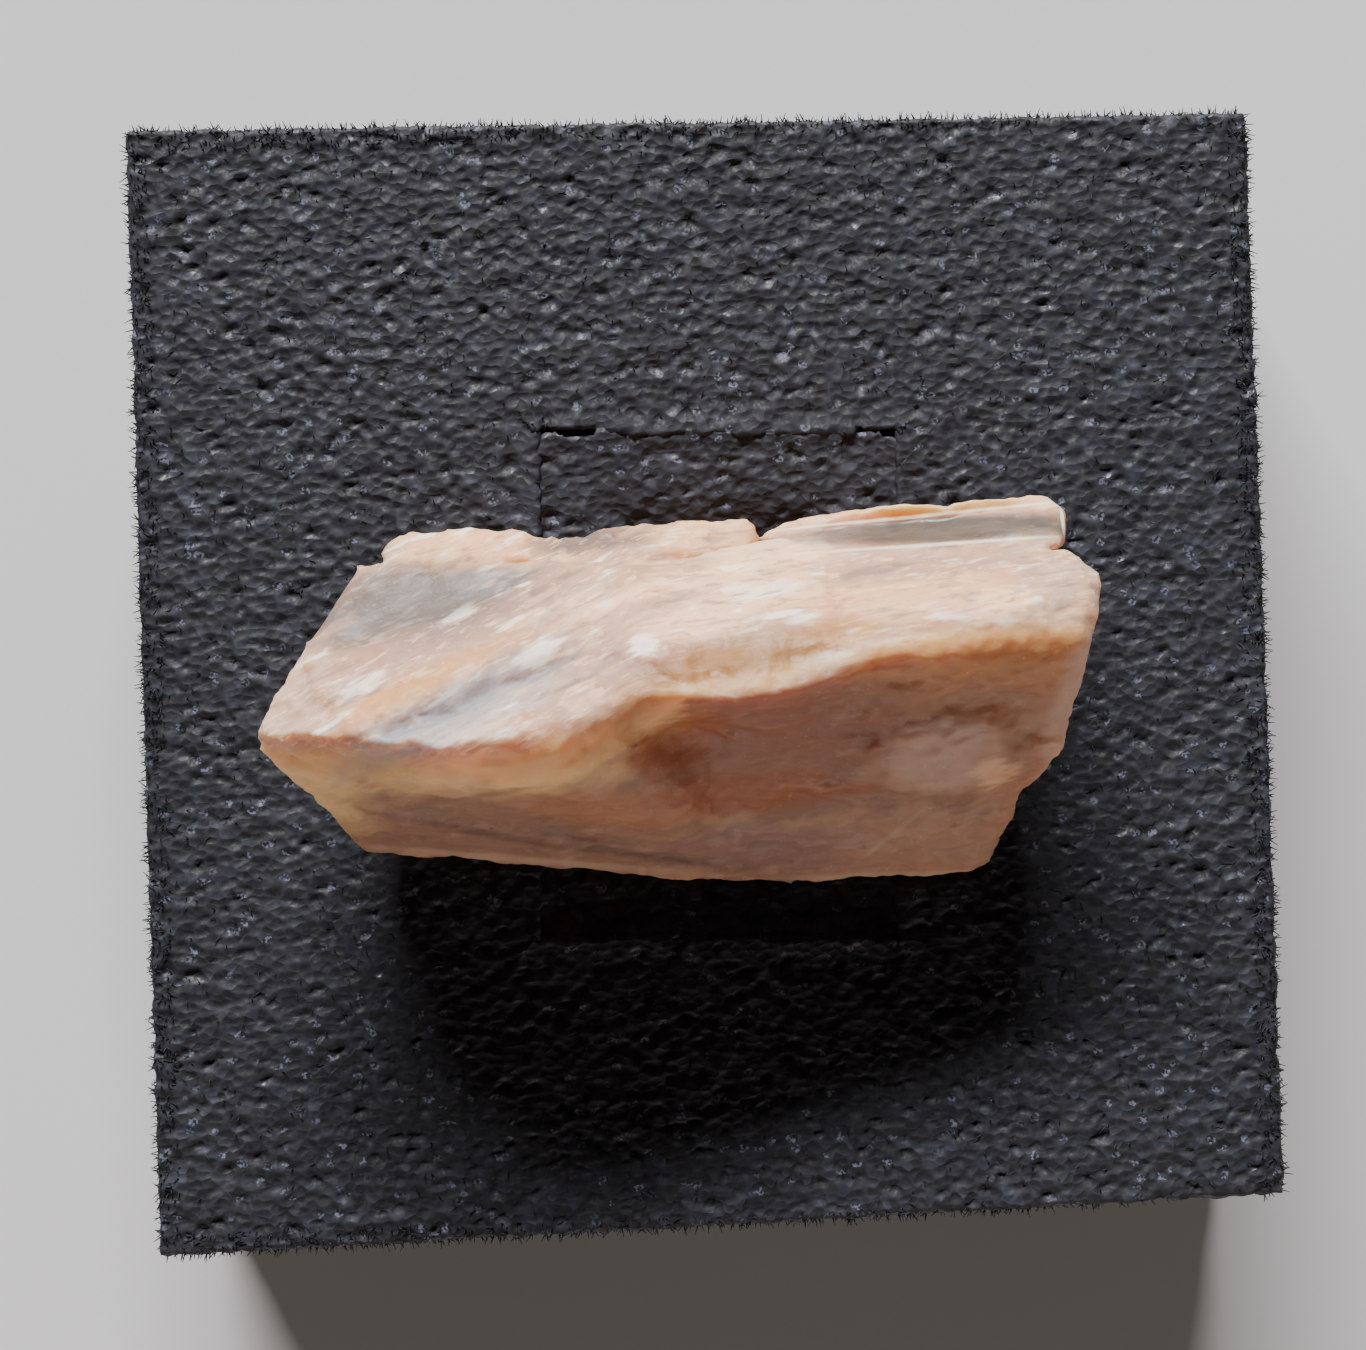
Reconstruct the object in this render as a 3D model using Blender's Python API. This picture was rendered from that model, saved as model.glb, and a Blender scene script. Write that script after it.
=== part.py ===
"""A rough moonstone held in a square block of foam.

The stone is one cleaved crystal. It is joined from convex blocks and leaves, each the hull of its own
corners, because cleavage leaves flat faces between straight edges. Thin sheets then stand proud of
those faces, and scars mark where sheets have broken away. The stone's belly sinks into a rectangular
die-cut in the foam and presses down the plug that the cut frees.

Lengths are in metres and +Z is up. The origin is the middle of the foam block's underside.
"""

import itertools
import math

import bmesh
import bpy
from mathutils import Matrix, Vector
from mathutils.bvhtree import BVHTree

MM = 0.001

# Foam block, cut by hand and not quite square: its plan corners in millimetres, by the signs of x and y
FOAM_CORNERS = {
    (-1, 1): (-20.1, 20.2),
    (1, 1): (20.1, 19.5),
    (1, -1): (20.2, -19.3),
    (-1, -1): (-20.2, -20.2),
}
FOAM_HEIGHT = 13 * MM
GAP = 0.3 * MM                 # air left between pieces that touch

# Die-cut pocket through the foam, and how far the plug in it is pressed down
POCKET_SIZE = (13.4 * MM, 18.6 * MM)
POCKET_CENTRE = (0.5 * MM, -0.4 * MM)
POCKET_TURN = math.radians(-1.9)
PLUG_BACK_DROP = 0.2 * MM
PLUG_MIDDLE_DROP = 1.8 * MM
PLUG_FRONT_DROP = 0.6 * MM

EDGE_WEAR = 0.12 * MM          # worn corners on the stone's blocks
LEAF_WEAR = 0.06 * MM          # worn corners on its thin leaves
SHEET_ROOT = 0.6 * MM          # how deep a sheet is rooted in the face below it
SCAR_REACH = 1.2 * MM          # how far a scar's cutter stands out of the face
SHEET_FLARE = 1.04             # how much wider a sheet's foot is than its top

# Corners of the stone's blocks, in millimetres: along the foam's width, towards its back edge, and
# above the foam's top. Each block is the convex hull of its corners.
STONE_BLOCKS = {
    "left_block": [
        (-14.9, -1.5, 8.6), (-15.1, -2.0, 7.4), (-14.7, -2.2, 5.8), (-13.9, 0.4, 7.6), (-13.5, 0.1, 5.4),
        (-12.4, 3.1, 5.8), (-11.9, 4.2, 4.9), (-11.8, 3.8, 3.2), (-11.7, -1.7, 10.5), (-9.0, -2.1, 11.2),
        (-6.0, -2.0, 11.1), (-3.5, -1.4, 10.6), (-2.2, -0.7, 10.2), (0.0, 3.95, 5.5), (1.8, 1.1, 8.9),
        (2.0, 3.6, 4.0), (-12.7, -5.1, 2.3), (-12.4, -5.7, 1.5), (-13.7, -4.0, 3.5), (-14.5, -2.7, 5.4),
        (-11.1, -5.95, 0.7), (-4.0, -6.85, 0.1), (3.1, -7.75, -0.2), (-9.5, 2.2, 0.4), (-10.4, -3.6, -0.2),
    ],
    "right_block": [
        (-2.2, -0.7, 10.2), (1.1, 0.1, 9.9), (4.1, 0.6, 9.6), (7.4, 1.1, 9.3), (10.0, 1.3, 9.2),
        (12.6, 1.0, 8.7), (13.4, 2.6, 7.5), (13.4, 3.0, 6.9), (12.5, 3.8, 6.2), (0.0, 3.95, 5.4),
        (5.4, 4.0, 5.9), (12.8, 0.4, 8.0), (12.6, -1.0, 6.6), (12.1, -3.4, 4.9), (11.7, -4.2, 4.3),
        (11.2, -2.6, 2.6), (11.6, 2.2, 3.4), (4.0, 3.8, 1.5), (-1.0, -6.0, 2.5), (10.6, -5.0, 2.6),
    ],
    "right_foot": [
        (11.1, -4.6, 3.6), (10.5, -5.6, 2.6), (10.1, -7.0, 1.1), (9.7, -7.5, 0.6), (5.5, -7.45, 0.4),
        (4.2, -7.5, 0.5), (3.4, -7.5, -0.2), (9.2, -6.6, -0.4), (10.2, -3.0, 0.6), (-3.0, -5.0, 4.2),
        (4.0, -2.0, 6.6), (10.6, -2.0, 6.0), (-3.0, -6.6, 0.6), (-2.0, 0.0, 0.0), (8.0, 2.0, 0.6),
    ],
    "belly": [
        (-10.4, -4.2, 0.6), (-9.6, 2.6, 0.8), (-8.2, 3.9, 1.6), (2.6, 4.3, 0.4), (9.6, 3.4, 1.4),
        (9.4, -5.4, 0.4), (2.0, -6.6, -0.6), (-5.0, -6.0, -0.4), (-4.4, -3.9, -4.2), (-3.6, 1.4, -4.6),
        (4.6, 2.2, -4.4), (5.2, -3.6, -4.0), (1.5, -4.6, -4.3), (-4.9, 2.6, -2.4), (6.0, 3.0, -2.0),
    ],
}
STONE_LEAVES = {
    "left_leaf": [
        (-11.2, 4.55, 3.7), (-11.0, 5.0, 3.2), (-10.0, 5.35, 3.0), (-8.3, 5.45, 3.0), (-6.0, 5.2, 3.1),
        (-5.6, 4.5, 4.1), (-8.6, 4.0, 4.9), (-11.0, 4.2, 4.5), (-10.6, 4.4, 1.8), (-6.2, 4.5, 0.9),
        (-9.0, 2.5, 1.2), (-6.0, 2.5, 1.2),
    ],
    "middle_leaf": [
        (-6.2, 4.9, 3.1), (-3.5, 5.15, 3.2), (-1.7, 5.35, 3.3), (0.0, 5.45, 3.4), (1.6, 5.45, 3.4),
        (2.0, 5.2, 3.4), (2.05, 4.7, 3.6), (-2.1, 4.2, 5.0), (-6.0, 4.2, 4.4), (1.7, 4.3, 4.4),
        (-5.8, 4.5, 0.5), (1.6, 4.7, 0.4), (-5.0, 2.5, 0.8), (1.6, 2.5, 0.8),
    ],
    "right_leaf": [
        (2.1, 4.8, 3.1), (2.9, 5.15, 3.1), (3.8, 5.45, 3.2), (5.4, 5.65, 3.3), (7.4, 5.75, 3.4),
        (9.8, 5.75, 3.5), (11.8, 5.6, 3.5), (12.8, 5.4, 3.4), (13.1, 5.1, 3.3), (12.9, 4.7, 3.4),
        (12.6, 4.1, 5.0), (4.6, 4.1, 5.7), (8.5, 4.15, 5.9), (12.2, 4.15, 6.0), (3.0, 4.2, 4.6),
        (2.9, 4.6, 0.6), (12.0, 4.7, 1.9), (3.5, 2.5, 1.0), (11.0, 2.5, 2.2),
    ],
    "ledge": [
        (-0.2, 3.6, 6.2), (-0.1, 4.4, 5.2), (2.0, 4.6, 5.0), (3.8, 4.6, 5.1), (4.2, 4.3, 5.6),
        (4.1, 3.5, 6.6), (0.0, 3.4, 4.6), (4.0, 3.4, 4.6),
    ],
}

# Corners of what has broken away from the leaves, in the same frame.
STONE_CUTS = {
    "glassy_face": [
        (3.2, 4.75, 3.4), (5.2, 5.15, 3.05), (9.1, 5.3, 3.0), (12.5, 5.2, 3.05), (4.4, 4.3, 5.5),
        (12.2, 4.3, 6.1), (3.2, 6.5, 9.0), (12.5, 6.5, 9.0), (12.5, 4.9, 9.0), (4.4, 4.4, 9.0),
    ],
    "glassy_step": [
        (-5.9, 4.95, 3.15), (-3.2, 4.95, 3.2), (-2.2, 4.7, 3.7), (-5.6, 4.5, 3.7), (-6.2, 6.2, 8.0),
        (-2.8, 6.2, 8.0), (-2.2, 4.75, 8.0), (-5.6, 4.55, 8.0),
    ],
}

# Sheets stand proud of the blocks and scars are sunk in them. Each has the side that it is drawn from,
# its thickness or depth in millimetres, and its corners in that side's two directions, in millimetres.
STONE_SHEETS = {
    "upper_left_band": ("top", 0.22, [(-13.4, 0.7), (-11.1, 1.4), (-9.1, 2.1), (-6.6, 3.0), (-4.4, 3.8),
                                      (-1.9, 3.6), (-3.5, 2.6), (-6.1, 1.35), (-9.4, 0.4), (-12.3, -0.8)]),
    "amber_band": ("top", 0.12, [(-12.2, -0.9), (-9.4, 0.35), (-6.1, 1.3), (-3.5, 2.5), (-2.1, 2.9),
                                 (-2.1, 2.1), (-4.8, 1.15), (-8.3, -0.2), (-11.4, -1.5)]),
    "middle_band": ("top", 0.2, [(-3.4, 0.8), (-2.1, 2.1), (-0.1, 2.6), (4.2, 2.6), (4.4, 1.4),
                                 (1.9, 0.7), (-1.8, 0.4)]),
    "upper_middle_band": ("top", 0.2, [(-3.8, 3.4), (-0.3, 3.55), (4.2, 3.3), (4.0, 2.8), (-0.1, 2.8),
                                       (-2.7, 2.7)]),
    "right_band": ("top", 0.2, [(4.7, 2.5), (10.0, 3.4), (12.6, 3.1), (13.0, 2.4), (9.8, 2.0), (4.6, 1.6)]),
    "front_flake": ("top", 0.3, [(-12.3, -5.5), (-11.2, -4.2), (-7.7, -4.8), (-3.9, -5.8), (1.3, -7.1),
                                 (0.0, -7.1), (-4.0, -6.7), (-11.0, -5.8)]),
    "tip_sheet": ("top", 0.16, [(-14.7, -2.1), (-11.8, -2.4), (-11.2, -3.3), (-10.4, -4.3), (-10.4, -4.9),
                                (-12.4, -5.4), (-13.4, -4.0)]),
    "gold_sheet": ("top", 0.12, [(6.9, 0.5), (9.7, 0.8), (12.2, 0.6), (12.2, -0.9), (7.8, -0.8),
                                 (6.4, -1.0)]),
    "pale_sheet": ("top", 0.14, [(6.4, -2.0), (7.5, -1.7), (9.8, -1.6), (10.2, -3.9), (9.9, -4.4),
                                (6.6, -4.1)]),
    "foot_vein": ("top", 0.12, [(5.4, -6.5), (6.8, -5.6), (7.5, -5.2), (7.7, -5.4), (6.9, -6.1),
                                (5.7, -6.8)]),
    "left_end_sheet": ("left", 0.2, [(-0.8, 3.8), (2.2, 3.4), (2.0, 4.8), (-0.4, 5.6)]),
    "right_end_sheet": ("right", 0.2, [(-2.2, 3.9), (1.3, 3.9), (1.6, 5.4), (-1.4, 5.2)]),
}
STONE_SCARS = {
    "grey_facet": ("top", 0.25, [(-12.7, 1.3), (-11.3, 3.9), (-8.6, 3.8), (-5.4, 3.9), (-6.7, 3.1),
                                 (-9.1, 2.1), (-11.1, 1.5)]),
    "groove": ("top", 0.35, [(-11.1, -1.6), (-8.4, -0.5), (-4.8, 0.75), (-3.5, 1.25), (-4.8, 0.4),
                             (-7.4, -0.7), (-10.0, -1.5)]),
    "rust_notch": ("top", 0.3, [(10.0, -1.3), (11.4, -1.6), (11.3, -4.0), (10.7, -4.3), (10.3, -2.7)]),
    "core_hollow": ("top", 0.14, [(-1.8, -1.5), (1.1, -1.3), (4.7, -1.1), (6.2, -1.6), (4.6, -3.9),
                                  (0.3, -3.6), (-1.9, -2.7)]),
    "crest_chip": ("top", 0.22, [(-2.9, -1.3), (-1.6, -0.7), (-1.2, -1.4), (-2.4, -2.4)]),
    "back_scar_left": ("back", 0.35, [(-8.6, 0.9), (-3.4, -0.8), (-2.6, 0.6), (-7.6, 1.6)]),
    "back_scar_right": ("back", 0.3, [(0.2, -2.0), (5.0, -1.6), (7.5, 0.8), (1.0, 0.4)]),
    "under_scar_left": ("below", 0.4, [(-11.0, -3.0), (-8.0, -3.4), (-7.6, 1.6), (-9.6, 1.4)]),
    "under_scar_right": ("below", 0.4, [(7.0, -3.6), (9.2, -3.4), (9.6, 1.4), (7.4, 1.8)]),
    "tip_scar": ("left", 0.25, [(-4.6, 3.2), (-3.2, 2.6), (-2.6, 4.4), (-3.6, 5.2)]),
}

# The sides that sheets and scars are drawn from: first direction, second direction, way out.
SIDES = {
    "top": (Vector((1, 0, 0)), Vector((0, 1, 0)), Vector((0, 0, 1))),
    "below": (Vector((1, 0, 0)), Vector((0, 1, 0)), Vector((0, 0, -1))),
    "back": (Vector((1, 0, 0)), Vector((0, 0, 1)), Vector((0, 1, 0))),
    "left": (Vector((0, 1, 0)), Vector((0, 0, 1)), Vector((-1, 0, 0))),
    "right": (Vector((0, 1, 0)), Vector((0, 0, 1)), Vector((1, 0, 0))),
}
RAY_START = 60 * MM


def clear_scene():
    """Remove every object that the scene starts with."""
    for item in list(bpy.data.objects):
        bpy.data.objects.remove(item, do_unlink=True)


def new_collection(name):
    """Add a collection to the scene."""
    collection = bpy.data.collections.new(name)
    bpy.context.scene.collection.children.link(collection)
    return collection


def new_material(name, colour, roughness, metallic=0.0):
    """Make a Principled material of one colour."""
    material = bpy.data.materials.new(name)
    material.use_nodes = True
    shader = material.node_tree.nodes["Principled BSDF"]
    shader.inputs["Base Color"].default_value = (*colour, 1.0)
    shader.inputs["Roughness"].default_value = roughness
    shader.inputs["Metallic"].default_value = metallic
    return material


def above_foam(corner):
    """Turn a stone corner in millimetres above the foam into a point in metres."""
    across, back, height = corner
    return Vector((across * MM, back * MM, FOAM_HEIGHT + height * MM))


def wrap_hull(shape):
    """Replace a bmesh's faces by the convex hull of its vertices."""
    bmesh.ops.delete(shape, geom=shape.edges[:] + shape.faces[:], context="EDGES_FACES")
    bmesh.ops.remove_doubles(shape, verts=shape.verts, dist=0.01 * MM)
    hull = bmesh.ops.convex_hull(shape, input=shape.verts)
    unused = set(hull["geom_interior"]) | set(hull["geom_unused"])
    loose = [item for item in unused if isinstance(item, bmesh.types.BMVert) and item.is_valid]
    bmesh.ops.delete(shape, geom=loose, context="VERTS")
    bmesh.ops.recalc_face_normals(shape, faces=shape.faces)


def wear_corners(shape, wear):
    """Bevel a hull's edges a little, and wrap it again."""
    flat = math.radians(3)
    bmesh.ops.dissolve_limit(shape, angle_limit=flat, verts=shape.verts, edges=shape.edges)
    bmesh.ops.bevel(
        shape, geom=shape.edges, offset=wear, affect="EDGES", segments=1, profile=0.5, clamp_overlap=True
    )
    wrap_hull(shape)


def hull_object(name, points, collection, wear=0.0):
    """Make an object that is the convex hull of some points."""
    shape = bmesh.new()
    for point in points:
        shape.verts.new(point)
    wrap_hull(shape)
    if wear > 0.0:
        wear_corners(shape, wear)
    mesh = bpy.data.meshes.new(name)
    shape.to_mesh(mesh)
    shape.free()
    result = bpy.data.objects.new(name, mesh)
    collection.objects.link(result)
    return result


def box_object(name, size, centre, collection, turn=0.0):
    """Make a box of a size about a centre, turned about the vertical."""
    bpy.ops.mesh.primitive_cube_add(size=1.0)
    box = bpy.context.active_object
    box.name = name
    placing = Matrix.Translation(centre) @ Matrix.Rotation(turn, 4, "Z")
    box.data.transform(placing @ Matrix.Diagonal((*size, 1.0)))
    for owner in list(box.users_collection):
        owner.objects.unlink(box)
    collection.objects.link(box)
    return box


def combine(target, tool, operation):
    """Join a tool to a target or cut it away, and mark the tool as no part of the model."""
    tool.hide_render = True
    tool.display_type = "WIRE"
    step = target.modifiers.new(tool.name, "BOOLEAN")
    step.operation = operation
    step.solver = "EXACT"
    step.object = tool


def dress(item, material):
    """Give an object its one material."""
    item.data.materials.clear()
    item.data.materials.append(material)


def surface_of(item):
    """Make a search tree of an object's faces as its modifiers leave them."""
    depsgraph = bpy.context.evaluated_depsgraph_get()
    return BVHTree.FromObject(item, depsgraph)


def drawn_on(surface, side, corners):
    """Drop a drawn outline onto a surface: its points there, and the mean way out of the faces hit."""
    first, second, out = SIDES[side]
    points, normals = [], []
    for u, v in corners:
        height = FOAM_HEIGHT if second.z else 0.0
        start = first * u * MM + second * (v * MM + height) + out * RAY_START
        point, normal, _, _ = surface.ray_cast(start, -out)
        if point is None:
            raise ValueError(f"the corner {u}, {v} drawn from the {side} misses the stone")
        points.append(point)
        normals.append(normal)
    return points, sum(normals, Vector()).normalized()


def slab_points(points, out, top, root):
    """Corners of a slab on a face: its top at one distance along the way out, its wider foot at another."""
    middle = sum(points, Vector()) / len(points)
    foot = [middle + (point - middle) * SHEET_FLARE + out * root for point in points]
    return [point + out * top for point in points] + foot


def make_moonstone(parts, tools):
    """Join the crystal's blocks and leaves, then raise its sheets and sink its scars."""
    blocks = dict(STONE_BLOCKS)
    first = [above_foam(corner) for corner in blocks.pop("left_block")]
    stone = hull_object("moonstone", first, parts, EDGE_WEAR)
    for wear, group in ((EDGE_WEAR, blocks), (LEAF_WEAR, STONE_LEAVES)):
        for name, corners in group.items():
            points = [above_foam(corner) for corner in corners]
            combine(stone, hull_object(name, points, tools, wear), "UNION")
    surface = surface_of(stone)
    for name, (side, thickness, corners) in STONE_SHEETS.items():
        points, out = drawn_on(surface, side, corners)
        slab = slab_points(points, out, thickness * MM, -SHEET_ROOT)
        combine(stone, hull_object(name, slab, tools), "UNION")
    for name, (side, depth, corners) in STONE_SCARS.items():
        points, out = drawn_on(surface, side, corners)
        slab = slab_points(points, out, -depth * MM, SCAR_REACH)
        combine(stone, hull_object(name, slab, tools), "DIFFERENCE")
    for name, corners in STONE_CUTS.items():
        points = [above_foam(corner) for corner in corners]
        combine(stone, hull_object(name, points, tools), "DIFFERENCE")
    dress(stone, new_material("moonstone", (0.66, 0.48, 0.35), 0.35))


def stone_clearances(tools):
    """Make each low block of the stone again, grown all round by the gap."""
    steps = [Vector(step) * GAP for step in itertools.product((-1, 1), repeat=3)]
    grown = []
    for name, corners in {**STONE_BLOCKS, **STONE_LEAVES}.items():
        if min(corner[2] for corner in corners) * MM < GAP:
            points = [above_foam(corner) + step for corner in corners for step in steps]
            grown.append(hull_object(f"{name}_clearance", points, tools))
    return grown


def make_plug(parts, tools):
    """Make the plug: a box that is pressed into a valley along its middle."""
    width, depth = (length - 2 * GAP for length in POCKET_SIZE)
    centre = Vector((*POCKET_CENTRE, FOAM_HEIGHT / 2))
    plug = box_object("foam_plug", (width, depth, FOAM_HEIGHT), centre, parts, POCKET_TURN)
    profile = [(0.5, PLUG_BACK_DROP), (0.0, PLUG_MIDDLE_DROP), (-0.5, PLUG_FRONT_DROP)]
    profile += [(0.5, -GAP), (-0.5, -GAP)]
    turn = Matrix.Rotation(POCKET_TURN, 4, "Z")
    valley = []
    for side in (-width, width):
        for share, drop in profile:
            corner = turn @ Vector((side, share * POCKET_SIZE[1], 0))
            valley.append(corner + Vector((*POCKET_CENTRE, FOAM_HEIGHT - drop)))
    combine(plug, hull_object("plug_valley", valley, tools), "DIFFERENCE")
    return plug


def make_block(parts):
    """Make the foam block: a box whose upright edges stand at the hand-cut corners."""
    size = (2 * MM, 2 * MM, FOAM_HEIGHT)
    block = box_object("foam_block", size, Vector((0, 0, FOAM_HEIGHT / 2)), parts)
    for vertex in block.data.vertices:
        corner = FOAM_CORNERS[math.copysign(1, vertex.co.x), math.copysign(1, vertex.co.y)]
        vertex.co.x, vertex.co.y = corner[0] * MM, corner[1] * MM
    return block


def make_foam(parts, tools):
    """Make the foam block and its plug, both pressed in where the stone sits."""
    block = make_block(parts)
    centre = Vector((*POCKET_CENTRE, FOAM_HEIGHT / 2))
    pocket = box_object("pocket", (*POCKET_SIZE, 3 * FOAM_HEIGHT), centre, tools, POCKET_TURN)
    combine(block, pocket, "DIFFERENCE")
    plug = make_plug(parts, tools)
    for clearance in stone_clearances(tools):
        combine(block, clearance, "DIFFERENCE")
        combine(plug, clearance, "DIFFERENCE")
    dress(block, new_material("foam_block", (0.035, 0.035, 0.042), 0.95))
    dress(plug, new_material("foam_plug", (0.03, 0.03, 0.037), 0.95))


def main():
    """Build the whole specimen."""
    clear_scene()
    parts = new_collection("moonstone_specimen")
    tools = new_collection("cutters")
    make_moonstone(parts, tools)
    make_foam(parts, tools)


main()
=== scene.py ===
"""Looks of a rough moonstone that sits in a die-cut block of charcoal foam.

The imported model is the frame. The stone's solid is cut into fine faces, on which cleavage steps, chips
and cracks are raised, and its colours are laid as soft zones through the crystal. The two foam solids
become open-celled foam with pits, struts and a ragged skin. Sizes in the fields are in millimetres,
and heights on the stone are measured from the foam's top.
"""

import logging
import math
import random
from dataclasses import dataclass
from enum import Enum
from typing import Any

import bmesh
import bpy
from mathutils import Matrix, Vector, noise


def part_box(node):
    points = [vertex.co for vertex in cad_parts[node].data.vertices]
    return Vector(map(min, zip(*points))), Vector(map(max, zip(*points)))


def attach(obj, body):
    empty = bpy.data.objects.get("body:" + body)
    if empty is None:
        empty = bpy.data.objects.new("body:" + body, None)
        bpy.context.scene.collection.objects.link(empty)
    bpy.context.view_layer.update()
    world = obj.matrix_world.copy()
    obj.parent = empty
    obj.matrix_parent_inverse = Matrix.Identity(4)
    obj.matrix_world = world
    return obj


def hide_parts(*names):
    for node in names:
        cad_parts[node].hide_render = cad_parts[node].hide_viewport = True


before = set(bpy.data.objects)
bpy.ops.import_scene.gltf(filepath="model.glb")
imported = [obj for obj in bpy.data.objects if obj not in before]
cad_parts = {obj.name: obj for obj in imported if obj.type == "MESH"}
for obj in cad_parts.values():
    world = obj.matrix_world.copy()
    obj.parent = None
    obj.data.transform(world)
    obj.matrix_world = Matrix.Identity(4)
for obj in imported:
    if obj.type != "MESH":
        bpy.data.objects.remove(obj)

MM = 0.001
FOAM_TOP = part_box("foam_block")[1].z / MM
FOAM_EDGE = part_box("foam_block")[1].x / MM
FRAME_WIDTH = 1366              # the camera frame's width in pixels
PIXEL = 0.0360                  # millimetres on the foam's top that one of them spans
BAND_BEND = -2.0                # where the cleavage bands change their slope, in millimetres across
BAND_SLOPE = 0.14               # how much the bands rise to the right of the bend
BAND_STEEPER = 0.36             # how much more they rise to its left
NOISE_SEED = 7                  # without one, noise.noise_vector starts from the clock

log = logging.getLogger("moonstone")


class Slot(Enum):
    """Material slots of the record."""

    MOONSTONE = "moonstone"
    FOAM = "foam"


def clamp(value: float, low: float = 0.0, high: float = 1.0) -> float:
    """Holds a number between two limits."""
    return max(low, min(high, value))


# ---------- shader maths


class Value:
    """A number in a shader: arithmetic on it adds Math nodes."""

    def __init__(self, recipe: "Recipe", socket: bpy.types.NodeSocket) -> None:
        """Wraps an output socket of a recipe's node."""
        self.recipe = recipe
        self.socket = socket

    def math(self, operation: str, *others: Any, first: Any = None) -> "Value":
        """Adds a Math node.

        Args:
            operation: The Math node's operation.
            others: Its further inputs, values or numbers.
            first: What stands before this value, for the reflected operators.

        Returns:
            The node's result.
        """
        inputs = ([] if first is None else [first]) + [self] + list(others)
        node = self.recipe.node("ShaderNodeMath", {"operation": operation}, dict(enumerate(inputs)))
        return Value(self.recipe, node.outputs[0])

    def __add__(self, other: Any) -> "Value":
        """Sum."""
        return self.math("ADD", other)

    __radd__ = __add__

    def __sub__(self, other: Any) -> "Value":
        """Difference."""
        return self.math("SUBTRACT", other)

    def __rsub__(self, other: Any) -> "Value":
        """Reflected difference."""
        return self.math("SUBTRACT", first=other)

    def __mul__(self, other: Any) -> "Value":
        """Product."""
        return self.math("MULTIPLY", other)

    __rmul__ = __mul__

    def __truediv__(self, other: Any) -> "Value":
        """Quotient."""
        return self.math("DIVIDE", other)

    def most(self, other: Any) -> "Value":
        """The larger of two values."""
        return self.math("MAXIMUM", other)

    def ramp(self, low: float, high: float, out_low: float = 0.0, out_high: float = 1.0) -> "Value":
        """Eases this value from one range to another, and holds it past the ends.

        Args:
            low: Where the change starts.
            high: Where the change ends.
            out_low: The result at low.
            out_high: The result at high.

        Returns:
            The eased value.
        """
        settings = {"interpolation_type": "SMOOTHSTEP"}
        inputs = {"Value": self, "From Min": low, "From Max": high, "To Min": out_low, "To Max": out_high}
        node = self.recipe.node("ShaderNodeMapRange", settings, inputs)
        return Value(self.recipe, node.outputs["Result"])


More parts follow.
